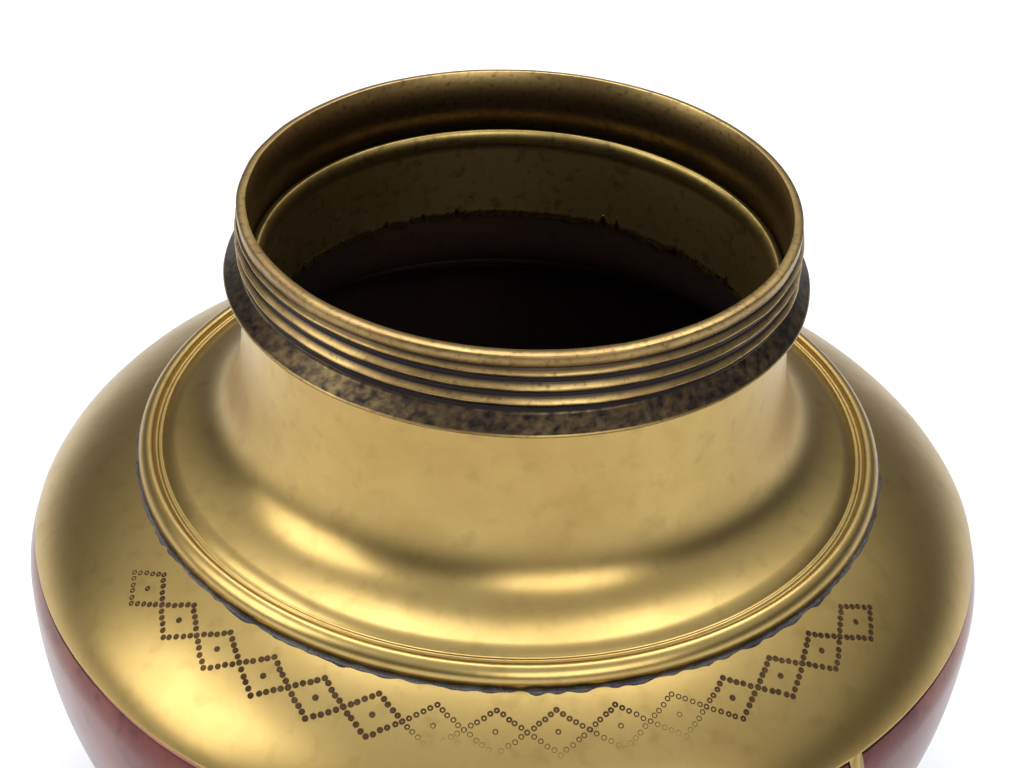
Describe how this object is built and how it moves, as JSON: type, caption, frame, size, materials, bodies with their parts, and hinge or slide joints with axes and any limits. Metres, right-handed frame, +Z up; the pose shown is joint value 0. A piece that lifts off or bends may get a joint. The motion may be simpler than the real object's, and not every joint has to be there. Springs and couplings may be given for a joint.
{
  "type": "water pot",
  "caption": "Round-bellied brass and copper water pot with a threaded cast collar, flared neck, engraved and beaded shoulder and a foot ring.",
  "frame": {"origin": "centre of the foot ring's resting face", "axes": "+Z up along the pot's axis"},
  "size_m": [0.198, 0.198, 0.178],
  "materials": {
    "cast_brass": "cast, filed and worn",
    "lining_brass": "brushed, stained",
    "brass": "hand polished, worn",
    "copper": "copper, burnished",
    "foot_brass": "satin, worn",
    "solder": "dull, oxidised"
  },
  "bodies": {
    "root": {"threaded_collar": "cast_brass", "neck_lining": "lining_brass", "neck_dome": "brass", "shoulder_shell": "brass", "lower_bowl": "copper", "foot_ring": "foot_brass", "collar_solder": "solder", "dome_solder": "solder", "foot_solder": "solder"}
  },
  "joints": []
}
